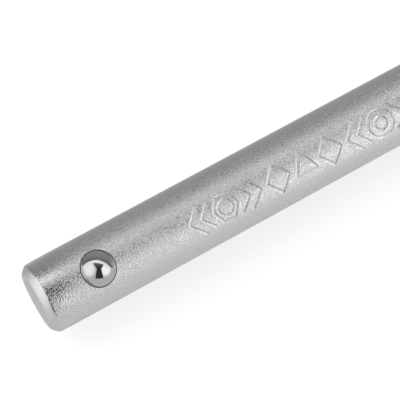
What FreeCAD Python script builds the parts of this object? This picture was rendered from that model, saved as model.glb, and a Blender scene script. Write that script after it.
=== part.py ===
"""Sliding T-handle for half inch sockets: a round bar, a drive head that slides on it and turns about it, and
the spring-loaded balls that stop the head at the bar's ends and hold a socket on the square.

The tool lies on its side. +X runs along the bar, the square drive points to -Y, and the balls face +Z. The
origin is at floor level, under the middle of the whole tool.
"""
import FreeCAD, Part
import math
import os

from FreeCAD import Placement, Rotation, Vector
import Sketcher

doc = FreeCAD.newDocument("SlidingTHandle")

# ----------------------------------------------------------------------------------------------------------
# Driving dimensions, in millimetres (counts and degrees where the name says so)
# ----------------------------------------------------------------------------------------------------------

SIZES = {
    "bar_length": 250.0,
    "bar_radius": 6.5,
    "bar_chamfer": 1.2,
    # end balls, in blind holes drilled square to the bar
    "stop_ball_radius": 3.175,
    "stop_ball_inset": 11.2,        # from the bar's end face to the ball's middle
    "stop_ball_height": 5.4,        # ball's middle above the bar's axis, pushed out against the lip
    "ball_play": 0.05,              # radial play between a ball and its hole
    "stop_hole_depth": 4.5,         # bottom of the hole below the bar's axis
    # head
    "head_radius": 12.5,
    "head_top": 13.0,               # from the bar's axis to the head's flat top
    "top_bevel": 1.2,
    "waist_start": 10.0,            # from the bar's axis down to where the head starts to taper
    "waist_end": 14.5,
    "collar_radius": 9.6,
    "shoulder": 16.5,               # from the bar's axis to the shoulder that a socket butts against
    "bore_play": 0.08,              # radial play of the bar in the head
    "bore_rounding": 0.7,
    # square drive
    "square_width": 12.7,
    "square_length": 16.0,
    "corner_radius": 8.45,          # the square is turned to this radius across its corners
    "lead_in_radius": 6.95,
    "lead_in_length": 2.2,
    "socket_ball_radius": 2.38,
    "socket_ball_height": 5.05,
    "socket_hole_depth": 3.4,
    # friction rings, in grooves of the head's bore
    "ring_wire_radius": 0.6,
    "ring_play": 0.02,
    "ring_offset": 6.0,             # from the head's middle to a ring's middle, along the bar
    "ring_gap_degrees": 34.0,
    "groove_play": 0.08,
    # springs
    "stop_wire_radius": 0.3,
    "stop_coil_radius": 2.25,
    "stop_turns": 6.5,
    "socket_wire_radius": 0.2,
    "socket_coil_radius": 1.65,
    "socket_turns": 8.5,
    "seat_play": 0.04,              # between a spring's end and what it bears on
}

sheet = doc.addObject("Spreadsheet::Sheet", "Sizes")
for row, (alias, value) in enumerate(SIZES.items(), start=1):
    sheet.set(f"A{row}", alias.replace("_", " "))
    sheet.set(f"B{row}", str(value))
    sheet.setAlias(f"B{row}", alias)
doc.recompute()


def size(formula):
    """The value of a formula written with the sheet's aliases, such as "bar_length / 2"."""
    return float(sheet.evalExpression(formula))


def bound(formula):
    """The same formula as other objects write it, with each alias read from the sheet."""
    words = []
    for word in formula.replace("(", "( ").replace(")", " )").split():
        words.append(f"Sizes.{word}" if word in SIZES else word)
    return " ".join(words)


# Where things sit, as formulas of the sheet's sizes. The bar's axis is a head radius above the floor, and the
# whole tool is centred on Y.
BAR_HEIGHT = "head_radius"
BAR_SETBACK = "( shoulder + square_length - head_top ) / 2"
STOP_BALL_X = "bar_length / 2 - stop_ball_inset"
SOCKET_BALL_Y = "shoulder + square_length / 2"


def place(part, x="0", y="0", z="0"):
    """Moves a sub-part to formulas of the sheet's sizes. Its turn, if it has one, stays."""
    for axis, formula in zip("xyz", (x, y, z)):
        part.setExpression(f"Placement.Base.{axis}", bound(formula))


def on_bar(part, x="0"):
    """Places a sub-part whose own origin belongs on the bar's axis, x along it from the middle."""
    place(part, x, BAR_SETBACK, BAR_HEIGHT)


# ----------------------------------------------------------------------------------------------------------
# Sketches
# ----------------------------------------------------------------------------------------------------------

def plane_of(body, role):
    """One of the body's own origin planes."""
    return next(plane for plane in body.Origin.OriginFeatures if plane.Role == role)


def new_sketch(body, role, name):
    sketch = body.newObject("Sketcher::SketchObject", name)
    sketch.AttachmentSupport = [(plane_of(body, role), "")]
    sketch.MapMode = "FlatFace"
    return sketch


def pin_point(sketch, edge, end, corner):
    """Holds one end of an edge at (across, up) formulas from the sketch's origin."""
    for kind, formula in zip(("DistanceX", "DistanceY"), corner):
        index = sketch.addConstraint(Sketcher.Constraint(kind, -1, 1, edge, end, size(formula)))
        sketch.setExpression(f"Constraints[{index}]", bound(formula))


def closed_outline(body, role, name, corners):
    """A closed outline of straight edges. Each corner is a pair of formulas (across, up)."""
    sketch = new_sketch(body, role, name)
    points = [Vector(size(across), size(up), 0) for across, up in corners]
    for start, end in zip(points, points[1:] + points[:1]):
        sketch.addGeometry(Part.LineSegment(start, end), False)
    for edge, corner in enumerate(corners):
        pin_point(sketch, edge, 1, corner)
        sketch.addConstraint(Sketcher.Constraint("Coincident", edge, 2, (edge + 1) % len(corners), 1))
    return sketch


def ball_hole_outline(body, name, radius, height, depth, shift, distance):
    """Half of a ball's blind hole: a straight bore up to the ball's middle, then a dome that keeps it in.

    The hole's axis is the sketch's upright axis, and shift says which way the sketch is moved by distance.
    """
    sketch = new_sketch(body, "XZ_Plane", name)
    sketch.setExpression(f"AttachmentOffset.Base.{shift}", bound(distance))
    reach = size(radius)
    middle = Vector(0, size(height), 0)
    bottom = Vector(0, -size(depth), 0)
    side = Vector(reach, 0, 0)
    sketch.addGeometry(Part.LineSegment(bottom, bottom + side), False)
    sketch.addGeometry(Part.LineSegment(bottom + side, middle + side), False)
    dome = Part.ArcOfCircle(Part.Circle(middle, Vector(0, 0, 1), reach), 0, math.pi / 2)
    sketch.addGeometry(dome, False)
    sketch.addGeometry(Part.LineSegment(middle + Vector(0, reach, 0), bottom), False)
    pin_point(sketch, 0, 1, ("0", f"0 - {depth}"))
    pin_point(sketch, 0, 2, (radius, f"0 - {depth}"))
    pin_point(sketch, 2, 3, ("0", height))
    for edge, next_edge in ((0, 1), (1, 2), (2, 3), (3, 0)):
        sketch.addConstraint(Sketcher.Constraint("Coincident", edge, 2, next_edge, 1))
    sketch.addConstraint(Sketcher.Constraint("Vertical", 1))
    sketch.addConstraint(Sketcher.Constraint("Vertical", 3))
    sketch.addConstraint(Sketcher.Constraint("Horizontal", 2, 1, 2, 3))
    return sketch


# ----------------------------------------------------------------------------------------------------------
# Features
# ----------------------------------------------------------------------------------------------------------

def revolve(body, kind, name, sketch, axis):
    """A full turn of a sketch, as a PartDesign Revolution or Groove. axis is a line of the sketch."""
    turned = body.newObject(f"PartDesign::{kind}", name)
    turned.Profile = sketch
    turned.ReferenceAxis = (sketch, [axis])
    turned.Angle = 360.0
    doc.recompute()
    return turned


def mirror_across_middle(body, name, *features):
    """Repeats features on the other side of the body's YZ plane."""
    mirrored = body.newObject("PartDesign::Mirrored", name)
    mirrored.Originals = list(features)
    mirrored.MirrorPlane = (plane_of(body, "YZ_Plane"), [""])
    body.Tip = mirrored
    doc.recompute()
    return mirrored


def must_cut(body, before, what):
    """A groove or pocket that misses the solid leaves its volume alone, and is a mistake."""
    doc.recompute()
    if not body.Shape.Volume < before - 1e-3:
        raise RuntimeError(f"{what} removes nothing from {body.Label}")
    return body.Shape.Volume


# ----------------------------------------------------------------------------------------------------------
# Handle bar
# ----------------------------------------------------------------------------------------------------------

def make_handle_bar():
    """Round bar with chamfered ends and a blind, domed ball hole near each end."""
    bar = doc.addObject("PartDesign::Body", "handle_bar")
    outline = closed_outline(bar, "XY_Plane", "BarOutline", (
        ("0 - bar_length / 2", "0"),
        ("bar_length / 2", "0"),
        ("bar_length / 2", "bar_radius - bar_chamfer"),
        ("bar_length / 2 - bar_chamfer", "bar_radius"),
        ("bar_chamfer - bar_length / 2", "bar_radius"),
        ("0 - bar_length / 2", "bar_radius - bar_chamfer"),
    ))
    revolve(bar, "Revolution", "TurnedBar", outline, "H_Axis")
    volume = bar.Shape.Volume
    hole_outline = ball_hole_outline(bar, "StopHoleOutline", "stop_ball_radius + ball_play",
                                     "stop_ball_height", "stop_hole_depth", "x", STOP_BALL_X)
    hole = revolve(bar, "Groove", "StopHole", hole_outline, "V_Axis")
    volume = must_cut(bar, volume, "the right ball hole")
    mirror_across_middle(bar, "LeftStopHole", hole)
    must_cut(bar, volume, "the left ball hole")
    on_bar(bar)
    return bar


# ----------------------------------------------------------------------------------------------------------
# Head
# ----------------------------------------------------------------------------------------------------------

def make_sliding_head():
    """Forged head: a round body across the bar, a tapered waist, a collar and the square drive below it."""
    head = doc.addObject("PartDesign::Body", "sliding_head")
    outline = closed_outline(head, "XY_Plane", "HeadOutline", (
        ("0", "head_top"),
        ("0", "0 - shoulder"),
        ("collar_radius", "0 - shoulder"),
        ("collar_radius", "0 - waist_end"),
        ("head_radius", "0 - waist_start"),
        ("head_radius", "head_top - top_bevel"),
        ("head_radius - top_bevel", "head_top"),
    ))
    revolve(head, "Revolution", "TurnedHead", outline, "V_Axis")
    add_square(head)
    volume = head.Shape.Volume
    volume = bore_for_bar(head, volume)
    volume = cut_ring_grooves(head, volume)
    hole_outline = ball_hole_outline(head, "SocketHoleOutline", "socket_ball_radius + ball_play",
                                     "socket_ball_height", "socket_hole_depth", "z", SOCKET_BALL_Y)
    revolve(head, "Groove", "SocketBallHole", hole_outline, "V_Axis")
    must_cut(head, volume, "the drive ball's hole")
    on_bar(head)
    return head


def add_square(head):
    """The square drive, turned to a radius across its corners and led in by a cone at its end."""
    half = "square_width / 2"
    far = "( shoulder + square_length )"
    square = closed_outline(head, "XZ_Plane", "SquareOutline", (
        (f"0 - {half}", f"0 - {half}"),
        (half, f"0 - {half}"),
        (half, half),
        (f"0 - {half}", half),
    ))
    pad = head.newObject("PartDesign::Pad", "Square")
    pad.Profile = square
    pad.setExpression("Length", bound(far))
    doc.recompute()
    if head.Shape.BoundBox.YMin > -size(far) + 1e-3:
        pad.Reversed = True
        doc.recompute()
    volume = head.Shape.Volume
    outside = closed_outline(head, "XY_Plane", "CornerTurning", (
        ("corner_radius", "0 - shoulder"),
        ("corner_radius", f"lead_in_length - {far}"),
        ("lead_in_radius", f"0 - {far}"),
        ("lead_in_radius", f"0 - {far} - 1"),
        ("head_radius", f"0 - {far} - 1"),
        ("head_radius", "0 - shoulder"),
    ))
    revolve(head, "Groove", "TurnedCorners", outside, "V_Axis")
    must_cut(head, volume, "the turning of the square's corners")


def bore_for_bar(head, volume):
    """The cross bore for the bar, with its two saddle-shaped mouths rounded over."""
    circle = new_sketch(head, "YZ_Plane", "BoreOutline")
    circle.addGeometry(Part.Circle(Vector(0, 0, 0), Vector(0, 0, 1), size("bar_radius + bore_play")), False)
    circle.addConstraint(Sketcher.Constraint("Coincident", 0, 3, -1, 1))
    index = circle.addConstraint(Sketcher.Constraint("Radius", 0, size("bar_radius + bore_play")))
    circle.setExpression(f"Constraints[{index}]", bound("bar_radius + bore_play"))
    bore = head.newObject("PartDesign::Pocket", "BarBore")
    bore.Profile = circle
    bore.Midplane = True
    bore.setExpression("Length", bound("4 * head_radius"))
    volume = must_cut(head, volume, "the bore for the bar")
    mouths = [f"Edge{number}" for number, edge in enumerate(head.Shape.Edges, start=1) if is_bore_mouth(edge)]
    rounding = head.newObject("PartDesign::Fillet", "BoreMouths")
    rounding.Base = (bore, mouths)
    rounding.setExpression("Radius", bound("bore_rounding"))
    return must_cut(head, volume, "the rounding of the bore's mouths")


def is_bore_mouth(edge):
    """True for an edge that lies on the bore's wall all the way along."""
    reach = size("bar_radius + bore_play")
    first, last = edge.ParameterRange
    steps = [edge.valueAt(first + (last - first) * share) for share in (0.1, 0.35, 0.6, 0.9)]
    on_wall = all(abs((point.y ** 2 + point.z ** 2) ** 0.5 - reach) < 1e-3 for point in steps)
    moves_round = max(point.y for point in steps) - min(point.y for point in steps) > 0.5
    return on_wall and moves_round


def cut_ring_grooves(head, volume):
    """Two square-sided grooves in the bore, one for each friction ring."""
    deep = "bar_radius + ring_play + 2 * ring_wire_radius + groove_play"
    near = "ring_offset - ring_wire_radius - groove_play"
    far = "ring_offset + ring_wire_radius + groove_play"
    outline = closed_outline(head, "XY_Plane", "GrooveOutline", (
        (near, "bar_radius"),
        (far, "bar_radius"),
        (far, deep),
        (near, deep),
    ))
    groove = revolve(head, "Groove", "RightRingGroove", outline, "H_Axis")
    volume = must_cut(head, volume, "the right ring's groove")
    mirror_across_middle(head, "LeftRingGroove", groove)
    return must_cut(head, volume, "the left ring's groove")


# ----------------------------------------------------------------------------------------------------------
# Balls, rings and springs
# ----------------------------------------------------------------------------------------------------------

def make_ball(name, radius, x, y, z):
    ball = doc.addObject("Part::Sphere", name)
    ball.setExpression("Radius", bound(radius))
    place(ball, x, y, z)
    return ball


def make_friction_ring(name, x):
    """A split ring of round wire about the bar. Its gap faces away from the square."""
    ring = doc.addObject("Part::Torus", name)
    ring.setExpression("Radius1", bound("bar_radius + ring_play + ring_wire_radius"))
    ring.setExpression("Radius2", bound("ring_wire_radius"))
    ring.setExpression("Angle3", bound("360 - ring_gap_degrees"))
    to_bar_axis = Rotation(Vector(0, 1, 0), 90)
    gap_to_top = Rotation(Vector(1, 0, 0), 90 + size("ring_gap_degrees / 2"))
    ring.Placement = Placement(Vector(0, 0, 0), gap_to_top * to_bar_axis)
    on_bar(ring, x)
    return ring


def make_spring(name, wire_radius, coil_radius, turns, bottom, ball_height, ball_radius, x, y):
    """A round-wire compression spring that stands on a hole's bottom and bears on a ball."""
    seat = f"( ( {ball_radius} + {wire_radius} ) ^ 2 - {coil_radius} ^ 2 ) ^ 0.5"
    low = f"{wire_radius} + seat_play - {bottom}"
    high = f"{ball_height} - {seat} - seat_play"
    helix = doc.addObject("Part::Helix", f"{name}_line")
    helix.setExpression("Radius", bound(coil_radius))
    helix.setExpression("Height", bound(f"{high} - ( {low} )"))
    helix.setExpression("Pitch", bound(f"( {high} - ( {low} ) ) / {turns}"))
    helix.SegmentLength = 1
    wire = doc.addObject("Part::Circle", f"{name}_wire")
    wire.setExpression("Radius", bound(wire_radius))
    wire.Placement = Placement(Vector(0, 0, 0), Rotation(Vector(1, 0, 0), 90))
    wire.setExpression("Placement.Base.x", bound(coil_radius))
    doc.recompute()
    coil = doc.addObject("Part::Sweep", name)
    coil.Sections = [wire]
    coil.Spine = (helix, [])
    coil.Solid = True
    coil.Frenet = True
    place(coil, x, y, f"{BAR_HEIGHT} + {low}")
    return coil


def make_all():
    """Every sub-part, in the order in which the tool is put together."""
    parts = [make_handle_bar()]
    for side, x in (("left", f"0 - ( {STOP_BALL_X} )"), ("right", STOP_BALL_X)):
        parts.append(make_spring(f"end_spring_{side}", "stop_wire_radius", "stop_coil_radius", "stop_turns",
                                 "stop_hole_depth", "stop_ball_height", "stop_ball_radius", x, BAR_SETBACK))
        parts.append(make_ball(f"end_ball_{side}", "stop_ball_radius", x, BAR_SETBACK,
                               f"{BAR_HEIGHT} + stop_ball_height"))
    parts.append(make_sliding_head())
    for side, x in (("left", "0 - ring_offset"), ("right", "ring_offset")):
        parts.append(make_friction_ring(f"friction_ring_{side}", x))
    drive_y = f"{BAR_SETBACK} - ( {SOCKET_BALL_Y} )"
    parts.append(make_spring("drive_spring", "socket_wire_radius", "socket_coil_radius", "socket_turns",
                             "socket_hole_depth", "socket_ball_height", "socket_ball_radius", "0", drive_y))
    parts.append(make_ball("drive_ball", "socket_ball_radius", "0", drive_y,
                           f"{BAR_HEIGHT} + socket_ball_height"))
    return parts


def check_and_export(parts):
    """Stops on a failed object or a bad shape, then writes one STEP file for each sub-part."""
    doc.recompute()
    for thing in doc.Objects:
        if "Invalid" in thing.State or "Error" in thing.State:
            raise RuntimeError(f"{thing.Label} failed: {thing.State}")
    for part in parts:
        if part.Shape.isNull() or not part.Shape.isValid() or len(part.Shape.Solids) != 1:
            raise RuntimeError(f"{part.Label} is not one valid solid")
    os.makedirs("parts", exist_ok=True)
    for part in parts:
        part.Shape.exportStep(f"parts/{part.Label}.step")
        print(f"{part.Label}: {part.Shape.Volume:.2f} mm3")


check_and_export(make_all())
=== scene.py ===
"""The looks of a sliding T-handle: a blasted, satin chrome bar and head, polished balls and spring wire.

Every piece is made about the bar's own axis, in metres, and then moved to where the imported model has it.
"""

import math

import bmesh
import bpy
from mathutils import Matrix, Vector


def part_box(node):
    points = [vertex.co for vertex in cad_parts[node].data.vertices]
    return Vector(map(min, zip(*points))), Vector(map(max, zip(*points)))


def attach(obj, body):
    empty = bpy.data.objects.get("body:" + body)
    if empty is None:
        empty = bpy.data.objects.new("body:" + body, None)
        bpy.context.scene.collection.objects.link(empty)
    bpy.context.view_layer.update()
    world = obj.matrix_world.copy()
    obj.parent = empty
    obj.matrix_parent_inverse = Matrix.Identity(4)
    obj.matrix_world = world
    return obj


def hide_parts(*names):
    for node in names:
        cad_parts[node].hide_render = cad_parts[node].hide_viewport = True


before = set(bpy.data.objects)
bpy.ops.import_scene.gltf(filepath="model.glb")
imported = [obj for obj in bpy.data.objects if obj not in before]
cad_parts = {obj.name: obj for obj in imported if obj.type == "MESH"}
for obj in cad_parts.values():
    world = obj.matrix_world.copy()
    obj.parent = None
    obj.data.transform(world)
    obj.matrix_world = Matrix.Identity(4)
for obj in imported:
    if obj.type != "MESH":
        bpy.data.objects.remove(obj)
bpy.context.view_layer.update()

MM = 0.001

# --------------------------------------------------------------------------------------------------
# Sizes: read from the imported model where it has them, and otherwise the maker's own, in metres
# --------------------------------------------------------------------------------------------------

bar_low, bar_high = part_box("handle_bar")
head_low, head_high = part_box("sliding_head")

BAR_CENTRE = Vector(((bar_low.x + bar_high.x) / 2, (bar_low.y + bar_high.y) / 2,
                     (head_low.z + head_high.z) / 2))
BAR_RADIUS = (bar_high.y - bar_low.y) / 2
BAR_HALF = (bar_high.x - bar_low.x) / 2
BAR_CHAMFER = 1.2 * MM
CHAMFER_SOFTNESS = 0.34 * MM        # how far the rounding of a chamfer's outer edge reaches along each side
FACE_SOFTNESS = 0.42 * MM           # the same for the edge round the flat end face
END_TAPER = 3.0 * MM                # grinding leaves the bar a little thinner towards its ends
END_DROP = 0.06 * MM

BALL_PLAY = 0.09 * MM
SOCKET_BALL_PLAY = 0.05 * MM
STOP_HOLE_DEPTH = 4.5 * MM          # below the bar's axis

HEAD_RADIUS = (head_high.z - head_low.z) / 2
HEAD_TOP = head_high.y - BAR_CENTRE.y
DRIVE_END = BAR_CENTRE.y - head_low.y
SQUARE_LENGTH = 16.0 * MM
SHOULDER = DRIVE_END - SQUARE_LENGTH
SQUARE_HALF = 6.35 * MM
CORNER_RADIUS = 8.45 * MM
LEAD_IN_RADIUS = 6.95 * MM
LEAD_IN_LENGTH = 2.2 * MM
TOP_BEVEL = 1.2 * MM
BORE_STRAIGHT = 10.2 * MM           # the bore flares out from here, on each side of the head's middle
BORE_FLARE = 0.55 * MM
WAIST_START = 10.0 * MM
WAIST_END = 14.5 * MM
COLLAR_RADIUS = 9.6 * MM
BORE_RADIUS = BAR_RADIUS + 0.08 * MM
RING_OFFSET = 6.0 * MM
RING_WIRE_RADIUS = 0.6 * MM
RING_PLAY = 0.02 * MM
GROOVE_PLAY = 0.08 * MM
SOCKET_HOLE_DEPTH = 3.4 * MM

TURNING_STEPS = 192                 # flats round anything turned
HOLE_STEPS = 96                     # flats round a ball hole
DOME_STEPS = 16                     # flats from the side of a ball hole's dome to its top
TAPER_STEPS = 12
FLARE_STEPS = 8
SHARP_ANGLE = math.radians(32)      # edges that turn by more than this are shaded sharp

# Engraved marks: a row of plain outlines, rolled into the bar on the side that the balls face
MARK_HEIGHT = 5.4 * MM
MARK_PITCH = 5.35 * MM
FIRST_MARK = 30.2 * MM              # middle of the first mark, from the bar's left end
MARKS_TURN = math.radians(10.5)     # from the balls round to the row's middle, towards the drive side
MARK_SQUEEZE = 0.84                 # a polygon's width against its height
ROW_MARGIN = 0.12                   # finer surface past each end of the row, in pitches
MESH_SPACING = 0.1 * MM             # how fine it is
STROKE_HALF_WIDTH = 0.24 * MM
STROKE_DEPTH = 0.12 * MM
STROKE_LIP = 0.013 * MM


def ball_of(node):
    """Middle and radius of a ball, measured from its CAD node."""
    low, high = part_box(node)
    return (low + high) / 2, (high.z - low.z) / 2


# --------------------------------------------------------------------------------------------------
# Camera, light and floor
# --------------------------------------------------------------------------------------------------

LENS_TILT = math.radians(13.2)      # from straight above the balls, towards the bar's left end
LENS_ROLL = math.radians(28.34)     # how steeply the bar climbs across the frame
LENS_DISTANCE = 261.5 * MM
AIM_FROM_LEFT_END = 33.72 * MM
AIM_TO_BACK = 2.025 * MM
HALF_FIELD = math.radians(7.645)

lens_back = Vector((-math.sin(LENS_TILT), 0, math.cos(LENS_TILT)))
along_bar = Vector((math.cos(LENS_TILT), 0, math.sin(LENS_TILT)))
lens_right = along_bar * math.cos(LENS_ROLL) - Vector((0, 1, 0)) * math.sin(LENS_ROLL)
lens_up = along_bar * math.sin(LENS_ROLL) + Vector((0, 1, 0)) * math.cos(LENS_ROLL)


def make_camera():
    data = bpy.data.cameras.new("camera")
    data.sensor_width = 36.0
    data.lens = data.sensor_width / 2 / math.tan(HALF_FIELD)
    data.clip_start = 0.01
    data.clip_end = 10.0
    camera = bpy.data.objects.new("camera", data)
    bpy.context.scene.collection.objects.link(camera)
    aim = Vector((bar_low.x + AIM_FROM_LEFT_END, BAR_CENTRE.y + AIM_TO_BACK, BAR_CENTRE.z))
    turn = Matrix((lens_right, lens_up, lens_back)).transposed()
    camera.matrix_world = Matrix.Translation(aim + lens_back * LENS_DISTANCE) @ turn.to_4x4()
    bpy.context.scene.camera = camera


class Nodes:
    """A node tree with short ways to add the nodes that the materials and the light use."""

    def __init__(self, tree):
        tree.nodes.clear()
        self.tree = tree

    def add(self, kind, settings=None, **inputs):
        node = self.tree.nodes.new(kind)
        for name, value in (settings or {}).items():
            setattr(node, name, value)
        for name, value in inputs.items():
            self.feed(node, name.replace("_", " "), value)
        return node

    def feed(self, node, name, value):
        """Sets or links one input. A number in place of a name is the input's place in the list."""
        socket = node.inputs[name]
        if isinstance(value, bpy.types.NodeSocket):
            self.tree.links.new(value, socket)
        else:
            socket.default_value = value

    def math(self, operation, *values, clamp=False):
        node = self.add("ShaderNodeMath", {"operation": operation, "use_clamp": clamp})
        for place, value in enumerate(values):
            self.feed(node, place, value)
        return node.outputs[0]

    def dot(self, vector, direction):
        node = self.add("ShaderNodeVectorMath", {"operation": "DOT_PRODUCT"})
        self.feed(node, 0, vector)
        self.feed(node, 1, tuple(direction))
        return node.outputs["Value"]

    def step(self, value, start, end, low=0.0, high=1.0):
        """Goes smoothly from low at start to high at end. start may be above end."""
        node = self.add("ShaderNodeMapRange", {"interpolation_type": "SMOOTHSTEP"})
        turned_round = start > end
        if turned_round:
            start, end, low, high = end, start, high, low
        for name, amount in (("From Min", start), ("From Max", end), ("To Min", low), ("To Max", high)):
            self.feed(node, name, amount)
        self.feed(node, "Value", value)
        return node.outputs["Result"]

    def blend(self, share, low, high):
        """low where share is 0 and high where it is 1. Both are numbers or number sockets."""
        node = self.add("ShaderNodeMix", {"data_type": "FLOAT"})
        for name, value in (("Factor", share), ("A", low), ("B", high)):
            self.feed(node, name, value)
        return node.outputs["Result"]


# Brightness of what surrounds the tool: a light tent with a broad soft box on each side of the lens, a
# dark slit between them and an unlit far side. A direction is right, up and back as the lens is held, and
# an edge is the two cosines, or shares, that something fades between.
TENT = 0.77
SOFT_BOX = 1.72
LEFT_BOX_SHARE = 0.80
LEFT_BOX_TOWARDS = (-0.82, 0.02, 0.57)
LEFT_BOX_EDGE = (0.58, 0.96)
RIGHT_BOX_TOWARDS = (0.82, -0.07, 0.57)
RIGHT_BOX_EDGE = (0.70, 0.98)
HORIZON = (-0.05, 0.15)
UPPER_RIM = 1.42                    # the tent is brightest just before the far side
UPPER_RIM_EDGE = (-0.12, -0.06)
FAR_TOWARDS = (0.08, 0.746, -0.653)
FAR_START = 0.25
FAR_SIDE = 0.39
FAR_FADE = (0.33, 0.85)             # from the far side's first brightness to its last
FAR_EDGE = (0.295, 0.33)
FAR_BEND = 0.15                     # the far side starts sooner to the left and right
TABLE = 0.60
TABLE_EDGE = (0.6, 0.95)

# The slit, across and up from the lens, where 1 is a right angle away
SLIT = 0.05
SLIT_TOP = 0.22
SLIT_FADE = (0.06, 0.36)            # from its lower brightness to its upper one
SLIT_MIDDLE = 0.11
SLIT_LEAN = -0.04
SLIT_HALF_WIDTH = 0.125
SLIT_SOFTNESS = 0.015
SPREAD_FROM = 0.04
SPREAD_ABOVE = 0.72
SPREAD_BELOW = 0.22
SLIT_FOOT = (-0.60, -0.56)
SLIT_END = (-0.03, -0.07)

FLOOR_HALF = 3.0                    # metres from its middle to its edge
FLOOR_PAINT = 0.33
FLOOR_GLOW = 0.67
BACK_LIGHT = 1.8                    # a wide lamp behind the bar, seen by the floor only
BACK_LIGHT_SPREAD = math.radians(45)
BACK_LIGHT_TOWARDS = (-0.20, 0.5, 0.86)


def lens_direction(right, up, back):
    return (lens_right * right + lens_up * up + lens_back * back).normalized()


def make_light():
    """Soft light from all round, brightest in two broad boxes."""
    world = bpy.data.worlds.new("light_tent")
    bpy.context.scene.world = world
    world.use_nodes = True
    n = Nodes(world.node_tree)
    facing = n.add("ShaderNodeTexCoord").outputs["Generated"]

    left_box = n.step(n.dot(facing, lens_direction(*LEFT_BOX_TOWARDS)), *LEFT_BOX_EDGE)
    right_box = n.step(n.dot(facing, lens_direction(*RIGHT_BOX_TOWARDS)), *RIGHT_BOX_EDGE)
    boxes = n.math("MAXIMUM", n.math("MULTIPLY", left_box, LEFT_BOX_SHARE), right_box)
    light = n.blend(boxes, TENT, SOFT_BOX)

    to_far_side = n.dot(facing, lens_direction(*FAR_TOWARDS))
    upwards = n.step(n.dot(facing, lens_up), *HORIZON)
    rim = n.math("MULTIPLY", upwards, n.step(to_far_side, *UPPER_RIM_EDGE))
    light = n.blend(rim, light, UPPER_RIM)

    light = n.blend(slit_share(n, facing, to_far_side), light, slit_brightness(n, facing))

    far_light = n.step(to_far_side, *FAR_FADE, FAR_START, FAR_SIDE)
    sideways = n.math("ABSOLUTE", n.dot(facing, lens_right))
    past_edge = n.math("ADD", to_far_side, n.math("MULTIPLY", sideways, FAR_BEND))
    light = n.blend(n.math("MULTIPLY", upwards, n.step(past_edge, *FAR_EDGE)), light, far_light)

    light = n.blend(n.step(n.dot(facing, (0, 0, -1)), *TABLE_EDGE), light, TABLE)

    background = n.add("ShaderNodeBackground", Color=(1.0, 1.0, 1.0, 1.0), Strength=light)
    output = n.add("ShaderNodeOutputWorld")
    n.feed(output, "Surface", background.outputs[0])


def flattened(n, facing, sideways):
    """How far a direction lies from the lens, along one of the lens's own sides."""
    behind_lens = 1.0001            # a little over 1, so that nothing is divided by 0
    closeness = n.math("ADD", n.dot(facing, lens_back), behind_lens)
    return n.math("DIVIDE", n.dot(facing, sideways), closeness)


def slit_share(n, facing, to_far_side):
    """1 inside the dark slit, which is narrow in front of the lens and opens upwards and downwards."""
    across = flattened(n, facing, lens_right)
    up = flattened(n, facing, lens_up)
    above = n.math("MAXIMUM", n.math("SUBTRACT", up, SPREAD_FROM), 0.0)
    wider_above = n.math("MULTIPLY", above, SPREAD_ABOVE)
    wider_below = n.math("MULTIPLY", n.math("MINIMUM", up, 0.0), -SPREAD_BELOW)
    half_width = n.math("ADD", n.math("ADD", wider_above, wider_below), SLIT_HALF_WIDTH)
    middle = n.math("ADD", n.math("MULTIPLY", up, SLIT_LEAN), SLIT_MIDDLE)
    off_middle = n.math("ABSOLUTE", n.math("SUBTRACT", across, middle))
    past_edge = n.math("SUBTRACT", off_middle, half_width)
    inside = n.step(past_edge, SLIT_SOFTNESS, -SLIT_SOFTNESS)
    between_ends = n.math("MULTIPLY", n.step(up, *SLIT_FOOT), n.step(to_far_side, *SLIT_END))
    return n.math("MULTIPLY", inside, between_ends)


def slit_brightness(n, facing):
    return n.step(flattened(n, facing, lens_up), *SLIT_FADE, SLIT, SLIT_TOP)


def make_floor():
    """A white floor that is lit from below as well, so that only a faint shadow shows. The tool's metal
    mirrors the tent and not the floor."""
    mesh = bmesh.new()
    bmesh.ops.create_grid(mesh, x_segments=1, y_segments=1, size=FLOOR_HALF)
    data = bpy.data.meshes.new("floor")
    mesh.to_mesh(data)
    mesh.free()
    floor = bpy.data.objects.new("floor", data)
    bpy.context.scene.collection.objects.link(floor)
    floor.visible_glossy = False
    material = bpy.data.materials.new("white_floor")
    material.use_nodes = True
    n = Nodes(material.node_tree)
    paint = n.add("ShaderNodeBsdfDiffuse", Color=(*[FLOOR_PAINT] * 3, 1.0))
    glow = n.add("ShaderNodeEmission", Color=(1.0, 1.0, 1.0, 1.0), Strength=FLOOR_GLOW)
    both = n.add("ShaderNodeAddShader")
    n.feed(both, 0, paint.outputs[0])
    n.feed(both, 1, glow.outputs[0])
    n.feed(n.add("ShaderNodeOutputMaterial"), "Surface", both.outputs[0])
    data.materials.append(material)

    lamp = bpy.data.lights.new("back_light", "SUN")
    lamp.energy = BACK_LIGHT
    lamp.angle = BACK_LIGHT_SPREAD
    sun = bpy.data.objects.new("back_light", lamp)
    sun.rotation_euler = Vector(BACK_LIGHT_TOWARDS).to_track_quat("Z", "Y").to_euler()
    sun.visible_glossy = False
    bpy.context.scene.collection.objects.link(sun)


# --------------------------------------------------------------------------------------------------
# Materials
# --------------------------------------------------------------------------------------------------

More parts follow.
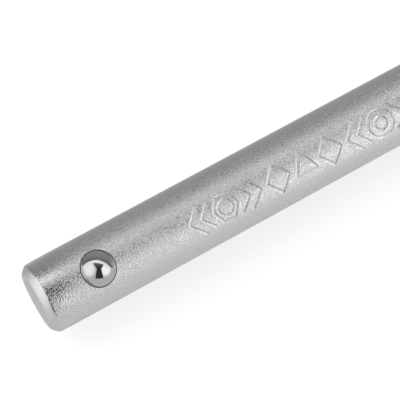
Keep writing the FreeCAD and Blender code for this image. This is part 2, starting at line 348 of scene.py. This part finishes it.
GROUND_END = (1.15 * MM, 1.35 * MM)     # from the bar's end: where its ground chamfer gives way to blasting
SHINY_END = (1 * MM, 9 * MM)            # and where its shinier end gives way to the usual satin
GROUND_DEPTH = 0.015 * MM
END_GRAIN_DEPTH = 0.055 * MM
BAR_GRAIN_DEPTH = 0.076 * MM
GRAIN_SHARE = 0.7                       # of the depth. The pits have the rest.
GRAIN_SCALE = 3900.0
PIT_SCALE = 4700.0
DEEP_PIT_SCALE = 1300.0
CLOUD_SCALE = 90.0
GROUND_ROUGHNESS = 0.50
END_ROUGHNESS = 0.06
BAR_ROUGHNESS = 0.37
CLOUD = 0.02                            # how far the roughness drifts along the surface
SPARKLE = 0.15                          # how far the pits differ in roughness
PIT_SHARE = 0.5                         # how much darker the few deep pits are
END_PIT_SHARE = 0.22                    # how much darker one pit in eight is near the bar's ends
SATIN = 0.65
# the dark pits' own colour, and also painted shade on the ball holes' walls
PIT_TONE_AND_HOLE_SHADE = 0.09
MIRROR = 0.51
WIRE_COLOUR = (0.30, 0.30, 0.31, 1.0)


def grey(value):
    """A metal's colour, a little cooler than plain grey."""
    return value, value, 1.01 * value, 1.0


def metal(name, colour):
    """A metal material, its shader and a short way to its nodes. The caller feeds the roughness."""
    material = bpy.data.materials.new(name)
    material.use_nodes = True
    n = Nodes(material.node_tree)
    shader = n.add("ShaderNodeBsdfPrincipled", Base_Color=colour, Metallic=1.0)
    n.feed(n.add("ShaderNodeOutputMaterial"), "Surface", shader.outputs[0])
    return material, shader, n


def satin_chrome():
    """Chrome over fine blasting, a grain of shallow pits. The bar is shinier near its ends, and the ground
    chamfers and end faces have hardly any grain. The ball holes' walls are painted near-black, as painted
    shade inside the holes."""
    material, shader, n = metal("satin_chrome", grey(SATIN))
    place = n.add("ShaderNodeTexCoord").outputs["Object"]
    x = n.add("ShaderNodeSeparateXYZ", Vector=place).outputs["X"]
    from_end = n.math("SUBTRACT", BAR_HALF, n.math("ABSOLUTE", x))
    blasted = n.step(from_end, *GROUND_END)
    away = n.step(from_end, *SHINY_END)
    near_end = n.math("MULTIPLY", blasted, n.math("SUBTRACT", 1.0, away))

    grain = n.add("ShaderNodeTexNoise", Vector=place, Scale=GRAIN_SCALE, Detail=2.0, Roughness=0.7)
    pits = n.add("ShaderNodeTexVoronoi", Vector=place, Scale=PIT_SCALE)
    pit_kind = n.add("ShaderNodeSeparateColor", Color=pits.outputs["Color"])
    pit_depth = n.step(pits.outputs["Distance"], 0.1, 0.6)
    height = n.blend(GRAIN_SHARE, pit_depth, grain.outputs["Fac"])
    depth = n.math("ADD", n.blend(blasted, GROUND_DEPTH, END_GRAIN_DEPTH),
                   n.math("MULTIPLY", away, BAR_GRAIN_DEPTH - END_GRAIN_DEPTH))
    bump = n.add("ShaderNodeBump", Height=height, Distance=depth, Strength=1.0)
    n.feed(shader, "Normal", bump.outputs["Normal"])

    dullness = n.blend(blasted, GROUND_ROUGHNESS, n.blend(away, END_ROUGHNESS, BAR_ROUGHNESS))
    cloud = n.add("ShaderNodeTexNoise", Vector=place, Scale=CLOUD_SCALE, Detail=4.0)
    drift = n.step(cloud.outputs["Fac"], 0.3, 0.7, -CLOUD, CLOUD)
    sparkle = n.math("MULTIPLY", away, n.step(pit_kind.outputs[0], 0.0, 1.0, -SPARKLE, SPARKLE))
    n.feed(shader, "Roughness", n.math("ADD", dullness, n.math("ADD", drift, sparkle)))

    cells = n.add("ShaderNodeTexVoronoi", Vector=place, Scale=DEEP_PIT_SCALE)
    chosen = n.add("ShaderNodeSeparateColor", Color=cells.outputs["Color"]).outputs[0]
    deep_pit = n.math("MULTIPLY", n.step(cells.outputs["Distance"], 0.13, 0.09), n.step(chosen, 0.74, 0.76))
    end_pit = n.math("MULTIPLY", near_end, n.step(pit_kind.outputs[1], 0.86, 0.89))
    pitted = n.math("MAXIMUM", n.math("MULTIPLY", deep_pit, PIT_SHARE),
                    n.math("MULTIPLY", end_pit, END_PIT_SHARE))
    # the ball holes' walls take the dark colour as painted shade, and the pits take it as their own darker
    # tone
    bore = n.add("ShaderNodeAttribute", {"attribute_name": "bore"}).outputs["Fac"]
    tint = n.add("ShaderNodeMix", {"data_type": "RGBA"})
    colour_a, colour_b, colour_out = 6, 7, 2        # the places of the mix node's colour sockets
    n.feed(tint, "Factor", n.math("MAXIMUM", bore, pitted))
    n.feed(tint, colour_a, grey(SATIN))
    n.feed(tint, colour_b, (PIT_TONE_AND_HOLE_SHADE, PIT_TONE_AND_HOLE_SHADE, PIT_TONE_AND_HOLE_SHADE, 1.0))
    n.feed(shader, "Base Color", tint.outputs[colour_out])
    return material


def mirror_steel():
    """Ball-bearing steel, polished, with hair-fine rolling marks."""
    material, shader, n = metal("mirror_steel", grey(MIRROR))
    place = n.add("ShaderNodeTexCoord").outputs["Object"]
    marks = n.add("ShaderNodeTexNoise", Vector=place, Scale=2500.0, Detail=2.0)
    n.feed(shader, "Roughness", n.step(marks.outputs["Fac"], 0.3, 0.8, 0.03, 0.07))
    return material


def spring_wire():
    """Drawn spring steel: darker, with faint streaks."""
    material, shader, n = metal("spring_wire", WIRE_COLOUR)
    place = n.add("ShaderNodeTexCoord").outputs["Object"]
    streaks = n.add("ShaderNodeTexNoise", Vector=place, Scale=3000.0, Detail=3.0)
    n.feed(shader, "Roughness", n.step(streaks.outputs["Fac"], 0.3, 0.7, 0.28, 0.45))
    bump = n.add("ShaderNodeBump", Height=streaks.outputs["Fac"], Distance=0.01 * MM, Strength=0.4)
    n.feed(shader, "Normal", bump.outputs["Normal"])
    return material


# --------------------------------------------------------------------------------------------------
# Mesh tools
# --------------------------------------------------------------------------------------------------

def turned(outline, axis):
    """A closed solid turned about axis from its outline, a row of (distance along the axis, radius)."""
    mesh = bmesh.new()
    side = Vector((0, 0, 1))
    points = [mesh.verts.new(axis * along + side * radius) for along, radius in outline]
    edges = [mesh.edges.new(pair) for pair in zip(points, points[1:])]
    bmesh.ops.spin(mesh, geom=points + edges, cent=(0, 0, 0), axis=axis, angle=2 * math.pi,
                   steps=TURNING_STEPS, use_merge=True)
    bmesh.ops.remove_doubles(mesh, verts=mesh.verts, dist=1e-7)
    bmesh.ops.recalc_face_normals(mesh, faces=mesh.faces)
    return mesh


def round_rings(mesh, axis, along, reach, segments):
    """Rounds the turned edges that lie a given distance along the axis, away from the axis itself."""
    rings = [edge for edge in mesh.edges
             if all(abs(end.co.dot(axis) - along) < 1e-6 for end in edge.verts)
             and min((end.co - axis * along).length for end in edge.verts) > 1e-5
             and abs(edge.calc_face_angle(0.0)) > 0.1]
    bmesh.ops.bevel(mesh, geom=rings, offset=reach, segments=segments, profile=0.5, affect="EDGES",
                    material=-1)


def as_piece(name, mesh):
    """Makes an object of a bmesh that was built about the bar's middle, and frees the bmesh."""
    data = bpy.data.meshes.new(name)
    mesh.to_mesh(data)
    mesh.free()
    piece = bpy.data.objects.new(name, data)
    bpy.context.scene.collection.objects.link(piece)
    return piece


def combine(piece, tool, operation):
    """Cuts, joins or intersects piece with tool, which is used up."""
    modifier = piece.modifiers.new(operation, "BOOLEAN")
    modifier.operation = operation
    modifier.object = tool
    modifier.solver = "EXACT"
    bpy.context.view_layer.update()
    made = bpy.data.meshes.new_from_object(piece.evaluated_get(bpy.context.evaluated_depsgraph_get()))
    piece.modifiers.clear()
    old = piece.data
    piece.data = made
    made.name = old.name
    bpy.data.meshes.remove(old)
    bpy.data.objects.remove(tool)


def ball_hole(name, across, back, height, radius, depth):
    """A tool of a ball hole's shape: straight up to the ball's middle, then a dome."""
    axis = Vector((0, 0, 1))
    side = Vector((1, 0, 0))
    mesh = bmesh.new()
    points = [axis * -depth, axis * -depth + side * radius]
    for step in range(DOME_STEPS + 1):
        angle = math.pi / 2 * step / DOME_STEPS
        points.append(axis * (height + radius * math.sin(angle)) + side * radius * math.cos(angle))
    verts = [mesh.verts.new(point) for point in points]
    edges = [mesh.edges.new(pair) for pair in zip(verts, verts[1:])]
    bmesh.ops.spin(mesh, geom=verts + edges, cent=(0, 0, 0), axis=axis, angle=2 * math.pi,
                   steps=HOLE_STEPS, use_merge=True)
    bmesh.ops.remove_doubles(mesh, verts=mesh.verts, dist=1e-7)
    bmesh.ops.recalc_face_normals(mesh, faces=mesh.faces)
    bmesh.ops.translate(mesh, verts=mesh.verts, vec=(across, back, 0))
    return as_piece(name, mesh)


def finish_piece(piece, material, body, slot, *nodes):
    """Gives a piece its place, smooth shading with sharp edges kept, its finish and its body."""
    data = piece.data
    data.transform(Matrix.Translation(BAR_CENTRE))
    data.shade_smooth()
    data.set_sharp_from_angle(angle=SHARP_ANGLE)
    data.materials.clear()
    data.materials.append(material)
    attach(piece, body)
    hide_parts(*nodes)


# --------------------------------------------------------------------------------------------------
# Engraved marks
# --------------------------------------------------------------------------------------------------

def polygon(sides, radius, first_angle):
    """Corners of a polygon about the origin, a little narrower than it is high."""
    corners = []
    for corner in range(sides):
        angle = first_angle + 2 * math.pi * corner / sides
        corners.append(Vector((MARK_SQUEEZE * radius * math.cos(angle), radius * math.sin(angle))))
    return corners


def closed(corners):
    """The straight strokes round a closed outline."""
    return list(zip(corners, corners[1:] + corners[:1]))


def mark_strokes():
    """Each mark's straight strokes and rings about its own middle, by its name."""
    half = MARK_HEIGHT / 2
    tip = Vector((0.32 * MARK_HEIGHT, 0))
    arrow = [(Vector((-0.12 * MARK_HEIGHT, side * half)), tip) for side in (-1, 1)]
    shift = Vector((-0.42 * MARK_HEIGHT, 0))
    double_arrow = arrow + [(start + shift, end + shift) for start, end in arrow]
    back_arrow = [(Vector((-start.x, start.y)), Vector((-end.x, end.y))) for start, end in double_arrow]
    return {
        "nut": (closed(polygon(6, half, 0.0)), [0.5 * half]),
        "diamond": (closed(polygon(4, half, 0.0)), []),
        "forward": (double_arrow, []),
        "backward": (back_arrow, []),
        "triangle": (closed(polygon(3, 1.05 * half, math.pi / 2)), []),
        "ring": ([], [0.92 * half, 0.42 * half]),
    }


MARK_ROW = ("backward", "nut", "forward", "diamond", "triangle", "diamond", "backward", "ring", "forward")


def stroke_distance(point, strokes, rings):
    """How far a point of the unrolled surface lies from a mark's nearest stroke."""
    nearest = 1.0
    for start, end in strokes:
        line = end - start
        share = max(0.0, min(1.0, (point - start).dot(line) / line.length_squared))
        nearest = min(nearest, (point - start - line * share).length)
    for radius in rings:
        nearest = min(nearest, abs(point.length - radius))
    return nearest


def engraved_depth(distance):
    """How far the surface sinks at a distance from a stroke's middle. It rises a little beside the stroke."""
    if distance < STROKE_HALF_WIDTH:
        return STROKE_DEPTH * math.cos(math.pi / 2 * distance / STROKE_HALF_WIDTH) ** 1.2
    past_edge = (distance - STROKE_HALF_WIDTH) / STROKE_HALF_WIDTH
    if past_edge > 1.2:
        return 0.0
    return -STROKE_LIP * math.sin(math.pi * past_edge / 1.2) ** 2


def engrave(mesh):
    """Refines the bar's surface under the row of marks and presses the marks into it."""
    start = -BAR_HALF + FIRST_MARK - (0.5 + ROW_MARGIN) * MARK_PITCH
    end = start + (len(MARK_ROW) + 2 * ROW_MARGIN) * MARK_PITCH
    half_turn = 0.5 * MARK_HEIGHT / BAR_RADIUS + math.radians(5)
    for along in (start, end):
        bmesh.ops.bisect_plane(mesh, geom=mesh.verts[:] + mesh.edges[:] + mesh.faces[:],
                               plane_co=(along, 0, 0), plane_no=(1, 0, 0), dist=1e-7)

    def in_row(face):
        middle = face.calc_center_median()
        turn = math.atan2(-middle.y, middle.z)
        return start < middle.x < end and abs(turn - MARKS_TURN) < half_turn and face.normal.x < 0.1

    long_edges = {edge for face in mesh.faces if in_row(face) for edge in face.edges
                  if abs(edge.verts[0].co.x - edge.verts[1].co.x) > MESH_SPACING}
    bmesh.ops.subdivide_edges(mesh, edges=list(long_edges), cuts=round((end - start) / MESH_SPACING),
                              use_grid_fill=True)
    short_edges = {edge for face in mesh.faces if in_row(face) for edge in face.edges
                   if abs(edge.verts[0].co.x - edge.verts[1].co.x) < 1e-7}
    bmesh.ops.subdivide_edges(mesh, edges=list(short_edges), cuts=1, use_grid_fill=True)

    strokes = mark_strokes()
    for vert in mesh.verts:
        turn = math.atan2(-vert.co.y, vert.co.z)
        if not start - 1e-6 < vert.co.x < end + 1e-6 or abs(turn - MARKS_TURN) > half_turn + 0.05:
            continue
        from_first = vert.co.x + BAR_HALF - FIRST_MARK
        place = min(max(round(from_first / MARK_PITCH), 0), len(MARK_ROW) - 1)
        across = (MARKS_TURN - turn) * BAR_RADIUS
        point = Vector((from_first - place * MARK_PITCH, across))
        depth = engraved_depth(stroke_distance(point, *strokes[MARK_ROW[place]]))
        radius = BAR_RADIUS - depth
        vert.co.y = -math.sin(turn) * radius
        vert.co.z = math.cos(turn) * radius


# --------------------------------------------------------------------------------------------------
# Pieces
# --------------------------------------------------------------------------------------------------

def both_sides(half):
    """A whole outline from its right half, which is listed from the far right to the middle."""
    return [(-along, radius) for along, radius in half] + half[::-1]


def bar_outline():
    """The bar's profile: a flat face, a chamfer and a slow taper at each end."""
    half = [(BAR_HALF, 0.0), (BAR_HALF, BAR_RADIUS - BAR_CHAMFER),
            (BAR_HALF - BAR_CHAMFER, BAR_RADIUS - END_DROP)]
    for step in range(1, TAPER_STEPS + 1):
        share = 1 - step / TAPER_STEPS
        half.append((BAR_HALF - BAR_CHAMFER - END_TAPER * (1 - share), BAR_RADIUS - END_DROP * share ** 2))
    return both_sides(half)


def mark_painted_hole_shade(piece, places, radius):
    """Marks the walls of the ball holes by an attribute that is 1 there, so that the material paints shade on
    them.
    """
    values = piece.data.attributes.new("bore", "FLOAT", "FACE").data
    for face in piece.data.polygons:
        for across, lowest in places:
            offset = face.center - Vector((across, 0, 0))
            outwards = math.hypot(offset.x, offset.y)
            facing_in = face.normal.x * offset.x + face.normal.y * offset.y < 0.3 * outwards
            if outwards < radius + 0.02 * MM and offset.z > lowest and facing_in:
                values[face.index].value = 1.0


def make_handle_bar(material):
    """The round bar: softened chamfers, ball holes and the engraved row."""
    axis = Vector((1, 0, 0))
    mesh = turned(bar_outline(), axis)
    for side in (-1, 1):
        round_rings(mesh, axis, side * BAR_HALF, FACE_SOFTNESS, 5)
        round_rings(mesh, axis, side * (BAR_HALF - BAR_CHAMFER), CHAMFER_SOFTNESS, 10)
    engrave(mesh)
    piece = as_piece("bar_satin", mesh)
    places = []
    for side in ("left", "right"):
        middle, radius = ball_of(f"end_ball_{side}")
        local = middle - BAR_CENTRE
        hole = ball_hole("hole", local.x, 0.0, local.z, radius + BALL_PLAY, STOP_HOLE_DEPTH)
        combine(piece, hole, "DIFFERENCE")
        places.append((local.x, -STOP_HOLE_DEPTH - 1e-5))
    # the hole walls are marked for painted shade
    mark_painted_hole_shade(piece, places, radius + BALL_PLAY)
    finish_piece(piece, material, "handle", "satin_chrome", "handle_bar")


def make_head(material):
    """The forged head: turned about the drive's axis, with its square, its bore and the ring grooves."""
    down = Vector((0, -1, 0))
    mesh = turned((
        (-HEAD_TOP, 0.0),
        (-HEAD_TOP, HEAD_RADIUS - TOP_BEVEL),
        (-HEAD_TOP + TOP_BEVEL, HEAD_RADIUS),
        (WAIST_START, HEAD_RADIUS),
        (WAIST_END, COLLAR_RADIUS),
        (SHOULDER, COLLAR_RADIUS),
        (SHOULDER, 0.0),
    ), down)
    for along, reach in ((-HEAD_TOP, 0.5), (-HEAD_TOP + TOP_BEVEL, 0.5), (WAIST_START, 1.6),
                         (WAIST_END, 0.9), (SHOULDER, 0.35)):
        round_rings(mesh, down, along, reach * MM, 6)
    piece = as_piece("head_satin", mesh)
    combine(piece, square_drive(down), "UNION")

    axis = Vector((1, 0, 0))
    clear = HEAD_RADIUS + 2 * MM
    half = [(clear, 0.0), (clear, BORE_RADIUS + BORE_FLARE)]
    for step in range(FLARE_STEPS + 1):
        share = 1 - step / FLARE_STEPS
        half.append((BORE_STRAIGHT + (HEAD_RADIUS - BORE_STRAIGHT) * share,
                     BORE_RADIUS + BORE_FLARE * share ** 2))
    combine(piece, as_piece("bore", turned(both_sides(half), axis)), "DIFFERENCE")
    deep = BAR_RADIUS + RING_PLAY + 2 * RING_WIRE_RADIUS + GROOVE_PLAY
    half_width = RING_WIRE_RADIUS + GROOVE_PLAY
    for middle_along in (-RING_OFFSET, RING_OFFSET):
        near, far = middle_along - half_width, middle_along + half_width
        groove = turned(((near, 0.0), (near, deep), (far, deep), (far, 0.0)), axis)
        combine(piece, as_piece("groove", groove), "DIFFERENCE")

    middle, radius = ball_of("drive_ball")
    local = middle - BAR_CENTRE
    hole = ball_hole("hole", local.x, local.y, local.z, radius + SOCKET_BALL_PLAY, SOCKET_HOLE_DEPTH)
    combine(piece, hole, "DIFFERENCE")
    finish_piece(piece, material, "head", "satin_chrome", "sliding_head")


def square_drive(down):
    """The square drive: a square bar turned down at its corners and tapered at its end."""
    mesh = bmesh.new()
    bmesh.ops.create_cube(mesh, size=1.0)
    start = SHOULDER - 0.5 * MM
    bmesh.ops.scale(mesh, verts=mesh.verts, vec=(2 * SQUARE_HALF, DRIVE_END - start, 2 * SQUARE_HALF))
    bmesh.ops.translate(mesh, verts=mesh.verts, vec=down * (start + DRIVE_END) / 2)
    square = as_piece("square", mesh)
    envelope = turned((
        (start, 0.0),
        (start, CORNER_RADIUS),
        (DRIVE_END - LEAD_IN_LENGTH, CORNER_RADIUS),
        (DRIVE_END, LEAD_IN_RADIUS),
        (DRIVE_END, 0.0),
    ), down)
    round_rings(envelope, down, DRIVE_END, 0.35 * MM, 5)
    round_rings(envelope, down, DRIVE_END - LEAD_IN_LENGTH, 0.8 * MM, 5)
    combine(square, as_piece("envelope", envelope), "INTERSECT")
    return square


def make_ball(name, node, body, material):
    """A polished steel ball."""
    middle, radius = ball_of(node)
    mesh = bmesh.new()
    bmesh.ops.create_uvsphere(mesh, u_segments=96, v_segments=48, radius=radius)
    bmesh.ops.translate(mesh, verts=mesh.verts, vec=middle - BAR_CENTRE)
    finish_piece(as_piece(name, mesh), material, body, "polished_ball_steel", node)


make_camera()
make_light()
make_floor()
satin = satin_chrome()
mirror = mirror_steel()
wire = spring_wire()
make_handle_bar(satin)
make_ball("stop_ball_left", "end_ball_left", "left_stop", mirror)
make_ball("stop_ball_right", "end_ball_right", "right_stop", mirror)
make_ball("socket_ball", "drive_ball", "socket_catch", mirror)
make_head(satin)
for node in ("end_spring_left", "end_spring_right", "drive_spring", "friction_ring_left",
             "friction_ring_right"):
    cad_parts[node].data.materials.clear()
    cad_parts[node].data.materials.append(wire)

bpy.context.scene.view_settings.view_transform = "Standard"
